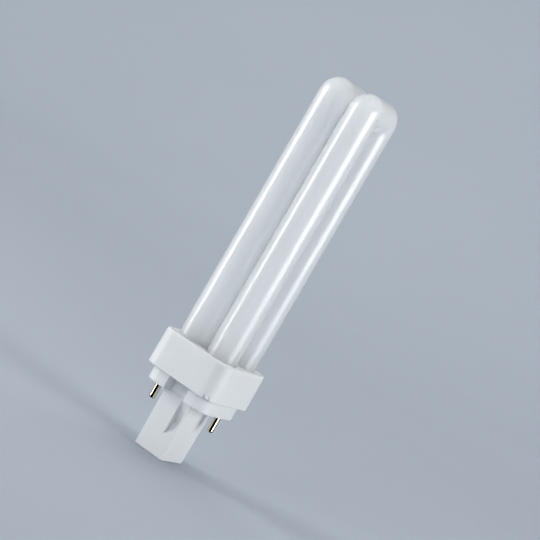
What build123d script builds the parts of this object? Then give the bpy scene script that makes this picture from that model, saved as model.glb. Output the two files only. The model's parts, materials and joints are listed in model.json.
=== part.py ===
from build123d import *
import os
from math import cos, radians, sin, tan

# Plug-in compact fluorescent bulb: four glass legs in a square, a two-piece moulded cap and two contact pins.
# The origin is on the bulb's axis, in the seating plane under the cap's shoulders, and +Z runs up the glass.
# Each U tube stands in a plane across X, so its two legs lie front and back, along Y.

# Glass vessel
tube_od = 12.0
u_pitch = 13.8             # from one U tube to the other, along X
leg_pitch = 15.0           # from leg to leg of one U tube, along Y
tube_top = 129.5           # top of the bends over the seating plane
bend_radius = 2.0          # of the centre line at each shoulder of a bend
leg_end_chamfer = 1.6
bridge_od = 6.5
bridge_rise = 8.0          # bridge axis over the collar's top
stem_od = 4.0              # pinched seal under the two legs that hold an electrode
stem_length = 2.0
stem_lead_pitch = 2.0      # between the two wires of an electrode
leg_insert = 8.0           # how deep the legs stand in the collar

# Collar that holds the legs
side_margin = 1.8          # from the legs to the collar's wall, along X
front_margin = 1.7         # the same along Y
holder_radius = 6.0
holder_wall = 1.5
holder_top = 2.4
holder_draft = 0.75        # degrees
holder_edge_chamfer = 0.4
leg_clearance = 0.15
leg_hole_chamfer = 0.5
gate_nib_radius = 0.5      # moulding mark on the near corner of the collar
gate_nib_length = 2.0
gate_nib_chamfer = 0.3
gate_nib_rise = 0.6        # over the collar's lower edge
gate_nib_bearing = -54     # degrees from +X
cement_depth = 3.5
bond_gap = 0.02

# Lower moulding: shoulders, clip slots and flange
shoulder_depth = 27.7      # Y
shoulder_radius = 6.3
shoulder_height = 5.7
shoulder_edge_chamfer = 0.3
slot_width = 9.6
slot_offset = 0.45         # the front slot's middle, to the right of the axis
base_wall = 1.3
flange_thickness = 1.6
flange_gap = 0.1
wire_space = 2.7           # room for the wires between the flange and the stems

# Post with its clip notches
post_width = 13.35         # X
post_length = 23.5
post_draft = 0.55          # degrees
post_edge_radius = 0.45
post_foot_chamfer = 0.35
notch_near = 2.0           # from the axis to the notch's nearer side
notch_width = 3.6
notch_depth = 3.3
notch_apex = 8.8           # under the seating plane
notch_foot = 15.0

# Starter and its capacitor
starter_od = 6.9
starter_length = 15.0
starter_chamfer = 1.6      # of the bottle's foot and shoulder
starter_pinch = 1.6        # height of its neck
starter_lead_pitch = 3.0
starter_gap = 0.25
capacitor_width = 4.2
capacitor_thickness = 2.4
capacitor_height = 8.0
capacitor_radius = 0.6
capacitor_lead_pitch = 2.2
capacitor_lead_rise = 1.6

# Contact pins and wires
pin_od = 2.35
pin_circle = 24.8
pin_angle = 22.9           # degrees from +X to the right-hand pin
pin_reach = 6.9            # under the seating plane
pin_tip_chamfer = 0.5
pin_neck_od = 1.7          # where it passes through the shoulder
pin_neck_fit = 0.02
pin_mouth_gap = 0.1        # round the shank, where the neck's hole opens out
pin_head_od = 3.4
pin_head_gap = 0.08        # from the head to the shoulder's wall
pin_head_thickness = 0.8
pin_cup_od = 1.2           # cup in the head that takes the wire
pin_cup_depth = 0.5
boss_height = 3.4
wire_od = 0.6
wire_gap = 0.05

# Places that follow from the sizes above
tube_radius = tube_od / 2
flange_top = shoulder_height + flange_thickness
stem_end = flange_top + wire_space
leg_end = stem_end + stem_length
holder_face = leg_end + leg_insert
holder_ceiling = holder_face - holder_top
holder_height = holder_face - shoulder_height
holder_width = u_pitch + tube_od + 2 * (side_margin + holder_wall)
holder_depth = leg_pitch + tube_od + 2 * (front_margin + holder_wall)
pin_x = pin_circle / 2 * cos(radians(pin_angle))
pin_y = pin_circle / 2 * sin(radians(pin_angle))
shoulder_width = 2 * (pin_x + pin_head_od / 2 + pin_head_gap + base_wall)
post_depth = starter_od + 2 * (starter_gap + base_wall + notch_depth)
post_front = post_depth / 2
pocket_x = post_width / 2 - base_wall
pocket_y = post_depth / 2 - base_wall
pocket_floor = base_wall - post_length
starter_top = pocket_floor + starter_length
wire_level = flange_top + wire_space / 2
pin_top = boss_height + pin_head_thickness
cup_floor = pin_top - pin_cup_depth
overrun = shoulder_radius  # how far a cutting shape runs past the face that it opens

pin_places = {"1": (-pin_x, -pin_y), "2": (pin_x, pin_y)}
electrode_legs = {"1": (-u_pitch / 2, -leg_pitch / 2), "2": (u_pitch / 2, -leg_pitch / 2)}
starter_leads = {"1": (-starter_lead_pitch / 2, 0), "2": (starter_lead_pitch / 2, 0)}
leg_places = [(x, y) for x in (-u_pitch / 2, u_pitch / 2) for y in (-leg_pitch / 2, leg_pitch / 2)]


def prism(plan, bottom, top):
    # A plan drawn on the ground plane, raised between two levels.
    return Pos(0, 0, bottom) * extrude(plan, top - bottom, dir=(0, 0, 1))


def rod(place, radius, bottom, top):
    return prism(Pos(*place) * Circle(radius), bottom, top)


def wire(points):
    # Round wire along straight runs with a sharp bend at each corner.
    path = Polyline(*points)
    return sweep((path ^ 0) * Circle(wire_od / 2), path=path, transition=Transition.RIGHT)


def shoulder_bend(side):
    # Quarter turn between a leg and the bar across the top, with the disc cut off at the axis it turns about.
    turn_y = side * (leg_pitch / 2 - bend_radius)
    level = tube_top - tube_radius - bend_radius
    disc = Pos(0, side * leg_pitch / 2) * Circle(tube_radius)
    outer_half = Pos(0, turn_y + side * tube_od) * Rectangle(2 * tube_od, 2 * tube_od)
    section = Pos(0, 0, level) * (disc & outer_half)
    return revolve(section, axis=Axis((0, turn_y, level), (side, 0, 0)), revolution_arc=90)


def u_tube():
    # Two legs and a squared bend, in the plane across X.
    leg_top = tube_top - tube_radius - bend_radius
    bar_length = leg_pitch - 2 * bend_radius
    bar = Pos(0, 0, tube_top - tube_radius) * Rot(90, 0, 0) * Cylinder(tube_radius, bar_length)
    body = bar
    for side in (-1, 1):
        leg = rod((0, side * leg_pitch / 2), tube_radius, leg_end, leg_top)
        leg = chamfer(leg.edges().group_by(Axis.Z)[0], leg_end_chamfer)
        body += leg + shoulder_bend(side)
    return body


def discharge_tube():
    bridge = Pos(0, leg_pitch / 2, holder_face + bridge_rise) * Rot(0, 90, 0) * Cylinder(bridge_od / 2, u_pitch)
    vessel = bridge
    for x in (-u_pitch / 2, u_pitch / 2):
        vessel += Pos(x, 0, 0) * u_tube()
    for place in electrode_legs.values():
        vessel += rod(place, stem_od / 2, stem_end, leg_end + leg_end_chamfer)
    return vessel


def holder_inside(gap):
    # Plan of the collar's hollow, less a gap all round.
    inset = 2 * (holder_wall + gap)
    return RectangleRounded(holder_width - inset, holder_depth - inset, holder_radius - inset / 2)


def gate_nib():
    # Small rounded bump along the collar's corner, half sunk in its wall.
    bump = Cylinder(gate_nib_radius, gate_nib_length)
    bump = chamfer(bump.edges().filter_by(GeomType.CIRCLE), gate_nib_chamfer)
    corner = Pos(holder_width / 2 - holder_radius, holder_radius - holder_depth / 2, shoulder_height + gate_nib_rise)
    return corner * Rot(0, 0, gate_nib_bearing) * Pos(holder_radius, 0, 0) * Rot(90, 0, 0) * bump


def tube_holder():
    outer = RectangleRounded(holder_width, holder_depth, holder_radius)
    shell = Pos(0, 0, shoulder_height) * extrude(outer, holder_height, taper=holder_draft)
    shell = chamfer(shell.edges().group_by(Axis.Z)[-1], holder_edge_chamfer)
    shell += gate_nib()
    shell -= prism(holder_inside(0), shoulder_height, holder_ceiling)
    hole_radius = tube_radius + leg_clearance
    for place in leg_places:
        shell -= rod(place, hole_radius, holder_ceiling, holder_face)
        lead_in = Cone(hole_radius, hole_radius + leg_hole_chamfer, leg_hole_chamfer)
        shell -= Pos(*place, holder_face - leg_hole_chamfer / 2) * lead_in
    return shell


def tube_cement():
    layer = prism(holder_inside(bond_gap), holder_ceiling - cement_depth, holder_ceiling)
    for place in leg_places:
        layer -= rod(place, tube_radius + bond_gap, holder_ceiling - cement_depth, holder_ceiling)
    return layer


def slot_plan(wall):
    # Plan of the two clip slots, front and back, grown by a wall all round.
    slot = Rectangle(slot_width + 2 * wall, shoulder_depth)
    reach = post_front - wall + shoulder_depth / 2
    return Pos(slot_offset, -reach) * slot + Pos(-slot_offset, reach) * slot


def notch(wall):
    # The clip notch in the front face: two ramps that meet at its apex, grown by a wall all round.
    front = -post_front
    outline = Polyline(
        (front - overrun, 0),
        (front, 0),
        (front + notch_depth, -notch_apex),
        (front, -notch_foot),
        (front - overrun, -notch_foot),
        close=True,
    )
    profile = make_face(Plane.YZ * outline)
    if wall:
        profile = offset(profile, amount=wall, kind=Kind.INTERSECTION)
    return Pos(notch_near - wall, 0, 0) * extrude(profile, notch_width + 2 * wall, dir=(1, 0, 0))


def both_notches(wall):
    front = notch(wall)
    return front + Rot(0, 0, 180) * front


def post_plan(level, inset):
    # The post's plan at a level, less its draft and an inset all round.
    loss = 2 * (inset - level * tan(radians(post_draft)))
    return Pos(0, 0, level) * RectangleRounded(post_width - loss, post_depth - loss, post_edge_radius)


def post():
    foot = post_foot_chamfer - post_length
    return loft([post_plan(0, 0), post_plan(foot, 0), post_plan(-post_length, post_foot_chamfer)], ruled=True)


def starter_pocket():
    # Hollow of the post, which keeps a wall behind each notch.
    room = prism(Rectangle(2 * pocket_x, 2 * pocket_y), pocket_floor, flange_top)
    return room - both_notches(base_wall)


def shoulder_hollow():
    inset = 2 * base_wall
    plan = RectangleRounded(shoulder_width - inset, shoulder_depth - inset, shoulder_radius - base_wall)
    plan -= slot_plan(base_wall)
    return prism(plan, base_wall, flange_top)


def cap_base():
    plan = RectangleRounded(shoulder_width, shoulder_depth, shoulder_radius) - slot_plan(0)
    shoulders = prism(plan, 0, shoulder_height)
    shoulders = chamfer(shoulders.edges().group_by(Axis.Z)[0], shoulder_edge_chamfer)
    body = shoulders + post() + prism(holder_inside(flange_gap), shoulder_height, flange_top)
    body -= both_notches(0)
    body -= shoulder_hollow() + starter_pocket()
    neck_radius = pin_neck_od / 2 + pin_neck_fit
    mouth_radius = pin_od / 2 + pin_mouth_gap
    mouth_depth = mouth_radius - neck_radius
    for place in pin_places.values():
        body += rod(place, pin_head_od / 2, base_wall, boss_height)
        body -= rod(place, neck_radius, 0, boss_height)
        body -= Pos(*place, mouth_depth / 2) * Cone(mouth_radius, neck_radius, mouth_depth)
    return body


def contact_pin(place):
    # Riveted pin: its shank stops under the shoulder, the neck goes through, and the head closes on the boss.
    shank = rod(place, pin_od / 2, -pin_reach, 0)
    shank = chamfer(shank.edges().group_by(Axis.Z)[0], pin_tip_chamfer)
    neck = rod(place, pin_neck_od / 2, 0, boss_height)
    head = rod(place, pin_head_od / 2, boss_height, pin_top)
    return shank + neck + head - rod(place, pin_cup_od / 2, cup_floor, pin_top)


def starter_bulb():
    # Small glass bottle with a sloped foot and shoulder and a pinched neck.
    bottle = rod((0, 0), starter_od / 2, pocket_floor, starter_top)
    bottle = chamfer(bottle.edges().filter_by(GeomType.CIRCLE), starter_chamfer)
    neck = Rectangle(starter_lead_pitch + 2 * wire_od, 2 * wire_od)
    return bottle + prism(neck, starter_top - starter_chamfer, starter_top + starter_pinch)


def starter_capacitor():
    centre_x = -pocket_x + starter_gap + capacitor_width / 2
    centre_y = -pocket_y + starter_gap + capacitor_thickness / 2
    plan = Pos(centre_x, centre_y) * RectangleRounded(capacitor_width, capacitor_thickness, capacitor_radius)
    top = pocket_floor + capacitor_height
    body = prism(plan, pocket_floor, top)
    lead_level = starter_top + starter_pinch + capacitor_lead_rise
    stop = wire_od / 2 + wire_gap
    for side, lead in ((-1, starter_leads["1"]), (1, starter_leads["2"])):
        start_x = centre_x + side * capacitor_lead_pitch / 2
        end_y = lead[1] - wire_od / 2 - stop
        points = (start_x, centre_y, top), (start_x, centre_y, lead_level), (lead[0], end_y, lead_level)
        body += wire(points)
    return body


def electrode_lead(leg, side, target, end_level):
    # Wire from an electrode's stem, along the flange and down to what it feeds.
    x, y = leg
    start_y = y + side * stem_lead_pitch / 2
    return wire(((x, start_y, stem_end), (x, start_y, wire_level), (*target, wire_level), (*target, end_level)))


pieces = {
    "discharge_tube": discharge_tube(),
    "tube_holder": tube_holder(),
    "tube_cement": tube_cement(),
    "cap_base": cap_base(),
    "starter_bulb": starter_bulb(),
    "starter_capacitor": starter_capacitor(),
}
for number, leg in electrode_legs.items():
    pieces["contact_pin_" + number] = contact_pin(pin_places[number])
    pieces["pin_lead_" + number] = electrode_lead(leg, 1, pin_places[number], cup_floor + wire_gap)
    lead_end = starter_top + starter_pinch
    pieces["starter_lead_" + number] = electrode_lead(leg, -1, starter_leads[number], lead_end)

os.makedirs("parts", exist_ok=True)
for name, piece in pieces.items():
    export_step(piece, "parts/" + name + ".step")
    print(name, round(piece.volume, 1), len(piece.solids()))
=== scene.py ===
import json
import math

import bmesh
import bpy
import numpy as np
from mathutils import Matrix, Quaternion, Vector


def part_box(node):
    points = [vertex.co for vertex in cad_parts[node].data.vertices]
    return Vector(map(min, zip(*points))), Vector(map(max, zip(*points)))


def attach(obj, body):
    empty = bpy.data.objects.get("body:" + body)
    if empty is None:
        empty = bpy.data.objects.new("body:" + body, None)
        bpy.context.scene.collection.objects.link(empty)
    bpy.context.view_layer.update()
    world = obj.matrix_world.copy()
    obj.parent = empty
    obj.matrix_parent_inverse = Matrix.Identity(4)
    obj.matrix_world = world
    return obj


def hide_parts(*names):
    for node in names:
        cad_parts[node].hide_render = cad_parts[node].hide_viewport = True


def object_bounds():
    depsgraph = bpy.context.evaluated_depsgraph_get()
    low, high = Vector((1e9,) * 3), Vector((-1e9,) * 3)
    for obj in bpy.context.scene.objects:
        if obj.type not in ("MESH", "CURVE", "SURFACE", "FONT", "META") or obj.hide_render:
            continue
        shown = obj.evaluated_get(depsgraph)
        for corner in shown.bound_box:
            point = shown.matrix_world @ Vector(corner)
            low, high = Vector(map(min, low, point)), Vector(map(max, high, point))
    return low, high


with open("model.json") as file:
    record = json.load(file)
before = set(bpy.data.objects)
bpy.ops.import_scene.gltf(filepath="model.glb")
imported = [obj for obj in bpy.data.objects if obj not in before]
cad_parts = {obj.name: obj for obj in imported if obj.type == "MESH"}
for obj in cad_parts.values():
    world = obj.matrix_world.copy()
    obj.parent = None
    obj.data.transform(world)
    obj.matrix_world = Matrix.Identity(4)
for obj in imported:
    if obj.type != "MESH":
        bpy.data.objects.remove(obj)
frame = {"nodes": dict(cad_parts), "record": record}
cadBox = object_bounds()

nodes = frame["nodes"]
body = "root"
mm = 0.001
print("frame loaded with", len(nodes), "pieces")


# Materials: every tone, roughness and relief comes from noise in the part's own coordinates

noiseSpan = (0.3, 0.7)      # where nearly all of a noise's values lie
plainStretch = (1.0, 1.0, 1.0)
evenNoise = 0.5             # how much of each finer layer a noise keeps, where a look doesn't say


def blankMaterial(name):
    material = bpy.data.materials.new(name)
    material.use_nodes = True
    tree = material.node_tree
    tree.nodes.clear()
    output = tree.nodes.new("ShaderNodeOutputMaterial")
    shader = tree.nodes.new("ShaderNodeBsdfPrincipled")
    tree.links.new(shader.outputs["BSDF"], output.inputs["Surface"])
    return material, tree, shader


def setSockets(shader, values):
    for socket, value in values.items():
        shader.inputs[socket].default_value = value


def noiseNode(tree, grain):
    # scales are per metre, and the stretch is along each axis of the part
    coords = tree.nodes.new("ShaderNodeTexCoord")
    mapping = tree.nodes.new("ShaderNodeMapping")
    mapping.inputs["Scale"].default_value = grain.get("stretch", plainStretch)
    tree.links.new(coords.outputs["Object"], mapping.inputs["Vector"])
    noise = tree.nodes.new("ShaderNodeTexNoise")
    noise.inputs["Scale"].default_value = grain["scale"]
    noise.inputs["Detail"].default_value = grain["detail"]
    noise.inputs["Roughness"].default_value = grain.get("keep", evenNoise)
    tree.links.new(mapping.outputs["Vector"], noise.inputs["Vector"])
    return noise.outputs["Fac"]


def rampNode(tree, factor, stops):
    # two stops, as a new ramp has
    ramp = tree.nodes.new("ShaderNodeValToRGB")
    for element, (position, colour) in zip(ramp.color_ramp.elements, stops):
        element.position = position
        element.color = (*colour, 1.0)
    tree.links.new(factor, ramp.inputs["Fac"])
    return ramp.outputs["Color"]


def rangeNode(tree, factor, ends):
    spread = tree.nodes.new("ShaderNodeMapRange")
    spread.inputs["From Min"].default_value = noiseSpan[0]
    spread.inputs["From Max"].default_value = noiseSpan[1]
    spread.inputs["To Min"].default_value = ends[0]
    spread.inputs["To Max"].default_value = ends[1]
    tree.links.new(factor, spread.inputs["Value"])
    return spread.outputs["Result"]


def bumpNode(tree, height, depth):
    bump = tree.nodes.new("ShaderNodeBump")
    bump.inputs["Strength"].default_value = 1.0
    bump.inputs["Distance"].default_value = depth
    tree.links.new(height, bump.inputs["Height"])
    return bump.outputs["Normal"]


coatedGlassLook = {
    "coating": [(0.3, (0.962, 0.962, 0.962)), (0.7, (0.98, 0.98, 0.98))],   # powder, thin to thick
    "roughness": (0.75, 0.6),
    # the wet coating ran down the tubes
    "powder": {"scale": 260.0, "stretch": (1.0, 1.0, 0.06), "detail": 4.0, "keep": 0.6},
    # faint lines along drawn glass
    "drawn": {"scale": 420.0, "stretch": (1.0, 1.0, 0.02), "detail": 2.0},
    "drawnDepth": 0.001 * mm,
    "sockets": {
        "Specular IOR Level": 0.15,
        "Subsurface Weight": 1.0,       # the powder lets light through the tubes
        "Subsurface Radius": (1.0, 1.0, 1.0),
        "Subsurface Scale": 200.0 * mm,
        "Coat Weight": 1.0,
        "Coat Roughness": 0.25,
        "Coat IOR": 1.8,
        "Coat Tint": (0.97, 0.99, 1.0, 1.0),
    },
}


def coatedGlass(look):
    material, tree, shader = blankMaterial("coatedGlass")
    shader.subsurface_method = "RANDOM_WALK_SKIN"
    setSockets(shader, look["sockets"])
    powder = noiseNode(tree, look["powder"])
    tree.links.new(rampNode(tree, powder, look["coating"]), shader.inputs["Base Color"])
    tree.links.new(rangeNode(tree, powder, look["roughness"]), shader.inputs["Roughness"])
    drawn = noiseNode(tree, look["drawn"])
    tree.links.new(bumpNode(tree, drawn, look["drawnDepth"]), shader.inputs["Coat Normal"])
    return material


capPlasticLook = {
    "tones": [(0.3, (0.82, 0.83, 0.835)), (0.7, (0.845, 0.855, 0.86))],
    "roughness": (0.36, 0.46),
    "flow": {"scale": 90.0, "detail": 3.0},         # slow drift of tone through the moulding
    "grain": {"scale": 5200.0, "detail": 2.0},      # fine spark grain of the mould
    "grainDepth": 0.004 * mm,
    "sockets": {
        "IOR": 1.52,
        "Subsurface Weight": 0.1,
        "Subsurface Radius": (1.0, 1.0, 1.0),
        "Subsurface Scale": 0.8 * mm,
    },
}


def capPlastic(look):
    material, tree, shader = blankMaterial("capPlastic")
    setSockets(shader, look["sockets"])
    flow = noiseNode(tree, look["flow"])
    tree.links.new(rampNode(tree, flow, look["tones"]), shader.inputs["Base Color"])
    grain = noiseNode(tree, look["grain"])
    tree.links.new(rangeNode(tree, grain, look["roughness"]), shader.inputs["Roughness"])
    tree.links.new(bumpNode(tree, grain, look["grainDepth"]), shader.inputs["Normal"])
    return material


pinMetalLook = {
    "tones": [(0.35, (0.66, 0.60, 0.45)), (0.65, (0.78, 0.72, 0.56))],      # plated brass
    "roughness": (0.05, 0.12),
    "tarnish": {"scale": 900.0, "detail": 4.0},
    # turning marks round the pin
    "rings": {"scale": 2600.0, "stretch": (0.02, 0.02, 1.0), "detail": 1.0},
    "ringDepth": 0.002 * mm,
    "sockets": {"Metallic": 1.0},
}


def pinMetal(look):
    material, tree, shader = blankMaterial("pinMetal")
    setSockets(shader, look["sockets"])
    tarnish = noiseNode(tree, look["tarnish"])
    tree.links.new(rampNode(tree, tarnish, look["tones"]), shader.inputs["Base Color"])
    tree.links.new(rangeNode(tree, tarnish, look["roughness"]), shader.inputs["Roughness"])
    rings = noiseNode(tree, look["rings"])
    tree.links.new(bumpNode(tree, rings, look["ringDepth"]), shader.inputs["Normal"])
    return material


# the pieces inside the cap, where one grain gives tone, roughness and relief

cementLook = {
    "tones": [(0.3, (0.50, 0.46, 0.38)), (0.7, (0.70, 0.67, 0.59))],
    "roughness": (0.8, 0.95),
    "grain": {"scale": 2400.0, "detail": 6.0, "keep": 0.65},
    "grainDepth": 0.06 * mm,
    "sockets": {"Specular IOR Level": 0.2},
}
starterGlassLook = {
    "tones": [(0.3, (0.78, 0.84, 0.83)), (0.7, (0.88, 0.92, 0.91))],
    "roughness": (0.02, 0.07),
    "grain": {"scale": 240.0, "detail": 2.0},       # slow swirls
    "grainDepth": 0.01 * mm,
    "sockets": {"IOR": 1.5, "Transmission Weight": 0.85},
}
capacitorCoatLook = {
    "tones": [(0.35, (0.42, 0.20, 0.05)), (0.65, (0.58, 0.31, 0.09))],
    "roughness": (0.25, 0.4),
    "grain": {"scale": 700.0, "detail": 3.0},       # sags of the dipped resin
    "grainDepth": 0.05 * mm,
    "sockets": {"Coat Weight": 0.4, "Coat Roughness": 0.15},
}
leadWireLook = {
    "tones": [(0.35, (0.52, 0.50, 0.47)), (0.65, (0.68, 0.66, 0.62))],
    "roughness": (0.25, 0.45),
    "grain": {"scale": 3000.0, "detail": 3.0},      # scuffs from drawing
    "grainDepth": 0.004 * mm,
    "sockets": {"Metallic": 1.0},
}


def insideFinish(name, look):
    material, tree, shader = blankMaterial(name)
    setSockets(shader, look["sockets"])
    grain = noiseNode(tree, look["grain"])
    tree.links.new(rampNode(tree, grain, look["tones"]), shader.inputs["Base Color"])
    tree.links.new(rangeNode(tree, grain, look["roughness"]), shader.inputs["Roughness"])
    tree.links.new(bumpNode(tree, grain, look["grainDepth"]), shader.inputs["Normal"])
    return material


finishes = {
    "coated_glass": coatedGlass(coatedGlassLook),
    "cap_plastic": capPlastic(capPlasticLook),
    "pin_metal": pinMetal(pinMetalLook),
    "cement": insideFinish("cement", cementLook),
    "starter_glass": insideFinish("starterGlass", starterGlassLook),
    "capacitor_coat": insideFinish("capacitorCoat", capacitorCoatLook),
    "lead_wire": insideFinish("leadWire", leadWireLook),
}
slotOfNode = {part["node"]: part["material_slot"] for part in frame["record"]["subparts"]}
for name, node in nodes.items():
    node.data.materials.clear()
    node.data.materials.append(finishes[slotOfNode[name]])
print("materials ready:", ", ".join(finishes))


# Shared mesh tools

weldGap = 0.001 * mm


def weldedCopy(node, name):
    # the node's own shape as a new piece, with its corners welded
    mesh = bpy.data.meshes.new(name)
    work = bmesh.new()
    work.from_mesh(nodes[node].data)
    bmesh.ops.remove_doubles(work, verts=work.verts, dist=weldGap)
    bmesh.ops.recalc_face_normals(work, faces=work.faces)
    work.to_mesh(mesh)
    work.free()
    piece = bpy.data.objects.new(name, mesh)
    bpy.context.scene.collection.objects.link(piece)
    return piece


def applyModifiers(piece):
    graph = bpy.context.evaluated_depsgraph_get()
    mesh = bpy.data.meshes.new_from_object(piece.evaluated_get(graph))
    piece.modifiers.clear()
    piece.data = mesh
    return mesh


def standFor(piece, node):
    slot = slotOfNode[node]
    piece.data.materials.clear()
    piece.data.materials.append(finishes[slot])
    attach(piece, body)
    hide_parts(node)


# Glass: the four legs, their squared bends and the bridge as one blown skin

glassTube = {
    "od": 12.0 * mm,
    "bendRadius": 2.0 * mm,     # centre line at each shoulder
    "crotchBlend": 0.8 * mm,    # how softly the legs run into the bar
    "crotchInset": 3.0 * mm,    # the blend is full this far inside the bend
    "crotchReach": 6.0 * mm,    # it starts this far under the bar
    "crotchFull": 2.0 * mm,     # and is full this far under it
    "endRadius": 1.6 * mm,
    "stemOd": 4.0 * mm,
    "stemLength": 2.0 * mm,
    "bridgeOd": 6.5 * mm,
    "bridgeRise": 8.0 * mm,     # over the collar
    "bridgeBlend": 0.6 * mm,
    "grid": 0.5 * mm,
    "plainFrom": 38.0 * mm,     # the legs are plain between these heights
    "plainTo": 102.0 * mm,
    "plainRows": 4,
    "settleSteps": 6,           # moves that bring the grid onto the skin
    "leastSteepness": 0.25,     # keeps a move short where the distance hardly changes
    "slopeStep": 0.01 * mm,
}
leastBlend = 1e-7               # stands for no blend at all
farAway = 1.0                   # metres, the distance where a shape doesn't reach


def smoothStep(low, high, value):
    t = np.clip((value - low) / (high - low), 0.0, 1.0)
    return t * t * (3.0 - 2.0 * t)


def softMin(fields, blend):
    # the lowest of several distances, rounded off where two are close
    stack = np.stack(fields)
    lowest = stack.min(axis=0)
    blend = np.maximum(blend, leastBlend)
    return lowest - blend * np.log(np.exp((lowest - stack) / blend).sum(axis=0))


class GlassSkin:
    def __init__(self, sizes):
        low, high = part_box("discharge_tube")
        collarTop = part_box("tube_holder")[1].z
        self.sizes = sizes
        self.radius = sizes["od"] / 2
        self.legX = high.x - self.radius
        self.legY = high.y - self.radius
        self.legEnd = low.z + sizes["stemLength"]
        self.barZ = high.z - self.radius
        self.turnY = self.legY - sizes["bendRadius"]
        self.turnZ = self.barZ - sizes["bendRadius"]
        self.bridgeZ = collarTop + sizes["bridgeRise"]

    def leg(self, x, y, z):
        rounding = self.sizes["endRadius"]
        across = np.hypot(x, y)
        side = across - (self.radius - rounding)
        under = self.legEnd + rounding - z
        outside = np.hypot(np.maximum(side, 0), np.maximum(under, 0))
        inside = np.minimum(np.maximum(side, under), 0)
        foot = outside + inside - rounding
        return np.where(z > self.turnZ, np.hypot(across, z - self.turnZ) - self.radius, foot)

    def bar(self, x, y, z):
        past = np.maximum(np.abs(y) - self.turnY, 0)
        return np.sqrt(x * x + (z - self.barZ) ** 2 + past * past) - self.radius

    def shoulder(self, x, y, z):
        outY = np.abs(y) - self.turnY
        outZ = z - self.turnZ
        ring = np.hypot(np.hypot(outY, outZ) - self.sizes["bendRadius"], x) - self.radius
        return np.where((outY > 0) & (outZ > 0), ring, farAway)

    def uTube(self, x, y, z):
        sizes = self.sizes
        inward = (self.turnY - np.abs(y) + self.turnZ - z) / math.sqrt(2)
        crotchZ = self.barZ - self.radius
        rise = smoothStep(crotchZ - sizes["crotchReach"], crotchZ - sizes["crotchFull"], z)
        near = smoothStep(0.0, sizes["crotchInset"], inward) * rise
        parts = [self.leg(x, y - self.legY, z), self.leg(x, y + self.legY, z), self.bar(x, y, z)]
        return np.minimum(softMin(parts, sizes["crotchBlend"] * near), self.shoulder(x, y, z))

    def stem(self, x, y, z):
        side = np.hypot(x, y) - self.sizes["stemOd"] / 2
        return np.maximum(side, np.abs(z - self.legEnd) - self.sizes["stemLength"])

    def distance(self, points):
        x, y, z = points.T
        tubes = np.minimum(self.uTube(x - self.legX, y, z), self.uTube(x + self.legX, y, z))
        past = np.maximum(np.abs(x) - self.legX, 0)
        offLine = np.sqrt((y - self.legY) ** 2 + (z - self.bridgeZ) ** 2 + past * past)
        bridge = offLine - self.sizes["bridgeOd"] / 2
        skin = softMin([tubes, bridge], self.sizes["bridgeBlend"])
        for side in (-1, 1):
            skin = np.minimum(skin, self.stem(x - side * self.legX, y + self.legY, z))
        return skin

    def slope(self, points):
        step = self.sizes["slopeStep"]
        pushes = step * np.eye(3)
        rises = [self.distance(points + push) - self.distance(points - push) for push in pushes]
        return np.stack(rises, axis=1) / (2 * step)


def readPoints(mesh):
    points = np.empty(len(mesh.vertices) * 3)
    mesh.vertices.foreach_get("co", points)
    return points.reshape(-1, 3)


def buildGlass(sizes):
    # the plain run of the legs is squeezed while the grid is laid, so it gets a few long rows
    piece = weldedCopy("discharge_tube", "glassTubes")
    low, high = sizes["plainFrom"], sizes["plainTo"]
    squeezed = low + sizes["plainRows"] * sizes["grid"]
    fullHeights = (0, low, high, 2 * high)
    squeezedHeights = (0, low, squeezed, squeezed + high)
    points = readPoints(piece.data)
    points[:, 2] = np.interp(points[:, 2], fullHeights, squeezedHeights)
    piece.data.vertices.foreach_set("co", points.ravel())
    remesh = piece.modifiers.new("skinGrid", "REMESH")
    remesh.mode = "VOXEL"
    remesh.voxel_size = sizes["grid"]
    mesh = applyModifiers(piece)
    skin = GlassSkin(sizes)
    points = readPoints(mesh)
    points[:, 2] = np.interp(points[:, 2], squeezedHeights, fullHeights)
    for step in range(sizes["settleSteps"]):
        slope = skin.slope(points)
        steepness = np.maximum((slope * slope).sum(axis=1), sizes["leastSteepness"])
        points -= (skin.distance(points) / steepness)[:, None] * slope
    slope = skin.slope(points)
    mesh.vertices.foreach_set("co", points.ravel())
    mesh.shade_smooth()
    mesh.normals_split_custom_set_from_vertices(slope / np.linalg.norm(slope, axis=1)[:, None])
    mesh.update()
    standFor(piece, "discharge_tube")
    miss = float(np.abs(skin.distance(points)).max() / mm)
    print("glass:", len(mesh.polygons), "faces, worst miss", round(miss, 4), "mm")


buildGlass(glassTube)


# Mouldings and pins: the frame's own shapes with softened edges

softEdges = {
    "tube_holder": {"piece": "collar", "width": 0.22 * mm, "segments": 3},
    "cap_base": {"piece": "capBase", "width": 0.2 * mm, "segments": 3},
    "contact_pin_1": {"piece": "pinLeft", "width": 0.16 * mm, "segments": 3},
    "contact_pin_2": {"piece": "pinRight", "width": 0.16 * mm, "segments": 3},
}
edgeAngle = math.radians(32)    # edges sharper than this are softened
flatAngle = math.radians(0.4)   # facets flatter than this are merged first
flatWeight = 80                 # how strongly large faces flatten the shading beside them


def buildSoftened(node, look):
    piece = weldedCopy(node, look["piece"])
    work = bmesh.new()
    work.from_mesh(piece.data)
    bmesh.ops.dissolve_limit(work, angle_limit=flatAngle, verts=work.verts, edges=work.edges)
    work.to_mesh(piece.data)
    work.free()
    piece.data.shade_smooth()
    bevel = piece.modifiers.new("softEdges", "BEVEL")
    bevel.width = look["width"]
    bevel.segments = look["segments"]
    bevel.limit_method = "ANGLE"
    bevel.angle_limit = edgeAngle
    bevel.use_clamp_overlap = False
    bevel.miter_outer = "MITER_ARC"
    weigh = piece.modifiers.new("flatFaces", "WEIGHTED_NORMAL")
    weigh.weight = flatWeight
    mesh = applyModifiers(piece)
    standFor(piece, node)
    print(look["piece"] + ":", len(mesh.polygons), "faces")


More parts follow.
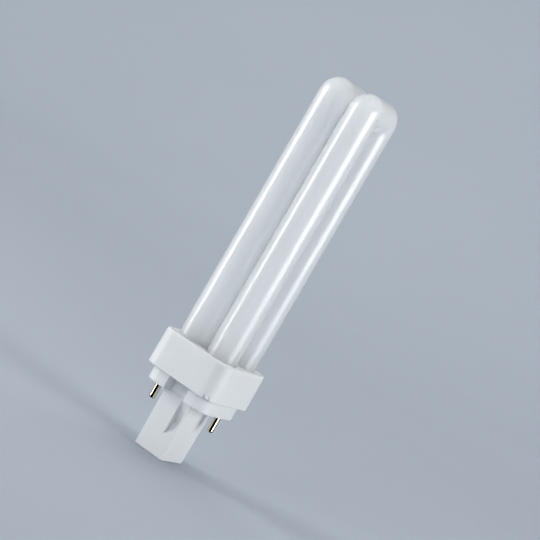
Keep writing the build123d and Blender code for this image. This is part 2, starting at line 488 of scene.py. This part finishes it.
for node, look in softEdges.items():
    buildSoftened(node, look)


# Studio: a round paper sweep, the camera, strip boxes beside the bulb and soft fills

sweep = {
    "floor": 0.9,               # radius of the flat part
    "bendRadius": 0.9,
    "wall": 2.0,
    "bendSteps": 24,
    "turnSteps": 72,
    "weldGap": 0.1 * mm,
    "tones": [(0.3, (0.42, 0.465, 0.52)), (0.7, (0.44, 0.485, 0.54))],
    "paper": {"scale": 3.0, "detail": 2.0},
    "sockets": {"Roughness": 0.9, "Specular IOR Level": 0.1},
}


def buildSweep(look):
    bend = look["bendRadius"]
    profile = [(0.0, 0.0)]
    for step in range(look["bendSteps"] + 1):
        turn = math.pi / 2 * step / look["bendSteps"]
        profile.append((look["floor"] + bend * math.sin(turn), bend * (1 - math.cos(turn))))
    profile.append((profile[-1][0], look["wall"]))
    work = bmesh.new()
    corners = [work.verts.new((reach, 0, height + cadBox[0].z)) for reach, height in profile]
    edges = [work.edges.new(pair) for pair in zip(corners, corners[1:])]
    bmesh.ops.spin(work, geom=corners + edges, cent=(0, 0, 0), axis=(0, 0, 1), angle=math.tau,
                   steps=look["turnSteps"])
    bmesh.ops.remove_doubles(work, verts=work.verts, dist=look["weldGap"])
    bmesh.ops.recalc_face_normals(work, faces=work.faces)
    bmesh.ops.reverse_faces(work, faces=work.faces)
    mesh = bpy.data.meshes.new("sweep")
    work.to_mesh(mesh)
    work.free()
    mesh.shade_smooth()
    piece = bpy.data.objects.new("sweep", mesh)
    bpy.context.scene.collection.objects.link(piece)
    material, tree, shader = blankMaterial("sweepPaper")
    setSockets(shader, look["sockets"])
    paper = noiseNode(tree, look["paper"])
    tree.links.new(rampNode(tree, paper, look["tones"]), shader.inputs["Base Color"])
    mesh.materials.append(material)
    piece.visible_glossy = False    # the photo shows no floor in the pins


view = {
    "lookAt": (1.3 * mm, 1.4 * mm, 55.6 * mm),
    "distance": 766.5 * mm,
    "azimuth": 27.42,
    "elevation": 4.96,
    "roll": 30.14,
    "lens": 140.4,
    "sensor": 36.0,
    "nearest": 10.0 * mm,
}


def outward(azimuth, elevation):
    a, e = math.radians(azimuth), math.radians(elevation)
    return Vector((math.sin(a) * math.cos(e), -math.cos(a) * math.cos(e), math.sin(e)))


def buildCamera(look):
    data = bpy.data.cameras.new("photoView")
    data.lens = look["lens"]
    data.sensor_width = look["sensor"]
    data.dof.use_dof = False
    data.clip_start = look["nearest"]
    camera = bpy.data.objects.new("photoView", data)
    bpy.context.scene.collection.objects.link(camera)
    away = outward(look["azimuth"], look["elevation"])
    camera.location = Vector(look["lookAt"]) + look["distance"] * away
    camera.rotation_mode = "QUATERNION"
    roll = Quaternion((0, 0, 1), math.radians(look["roll"]))
    camera.rotation_quaternion = (-away).to_track_quat("-Z", "Y") @ roll
    bpy.context.scene.camera = camera


# Metres and degrees: a bearing counts from the camera's side, positive to its right.
# The strips reach below the floor, where only the pins mirror them.
boxes = {
    "leftStrip": {"bearing": -80, "elevation": 6.2, "distance": 0.6, "size": (0.16, 0.59), "radiance": 6.9},
    "leftSpread": {"bearing": -88, "elevation": 6.2, "distance": 0.6, "size": (0.32, 0.59), "radiance": 1.8},
    "rightStrip": {"bearing": 67, "elevation": 6.2, "distance": 0.64, "size": (0.44, 0.59), "radiance": 4.8},
    "frontFill": {"bearing": -36, "elevation": 13, "distance": 1.0, "size": (0.5, 0.3), "radiance": 4.33},
    "topFill": {"bearing": 180, "elevation": 75, "distance": 1.2, "size": (1.2, 1.2), "radiance": 1.9},
    "wallWash": {"bearing": 180, "elevation": 50, "distance": 1.4, "size": (2.0, 0.6), "radiance": 2.5},
}
hiddenInGloss = ("frontFill", "topFill")
boxAim = Vector((0, 0, 0.04))
wallAim = {"box": "wallWash", "height": 0.2, "behind": 1.8}    # this one lights the wall behind the bulb
room = {"colour": (0.92, 0.96, 1.0, 1.0), "strength": 0.1}


def buildBox(name, look):
    width, height = look["size"]
    data = bpy.data.lights.new(name, "AREA")
    data.shape = "RECTANGLE"
    data.size = width
    data.size_y = height
    data.energy = look["radiance"] * math.pi * width * height
    lamp = bpy.data.objects.new(name, data)
    bpy.context.scene.collection.objects.link(lamp)
    away = outward(view["azimuth"] + look["bearing"], look["elevation"])
    lamp.location = boxAim + look["distance"] * away
    aim = boxAim
    if name == wallAim["box"]:
        aim = Vector((0, 0, wallAim["height"])) - wallAim["behind"] * outward(view["azimuth"], 0)
    lamp.rotation_mode = "QUATERNION"
    lamp.rotation_quaternion = (aim - lamp.location).to_track_quat("-Z", "Y")
    lamp.visible_camera = False
    lamp.visible_glossy = name not in hiddenInGloss


def buildRoom(look):
    world = bpy.data.worlds.new("room")
    world.use_nodes = True
    bpy.context.scene.world = world
    world.cycles_visibility.glossy = False
    background = world.node_tree.nodes["Background"]
    background.inputs["Color"].default_value = look["colour"]
    background.inputs["Strength"].default_value = look["strength"]


buildSweep(sweep)
buildCamera(view)
for name, look in boxes.items():
    buildBox(name, look)
buildRoom(room)
bpy.context.scene.view_settings.view_transform = "Standard"
print("studio ready")
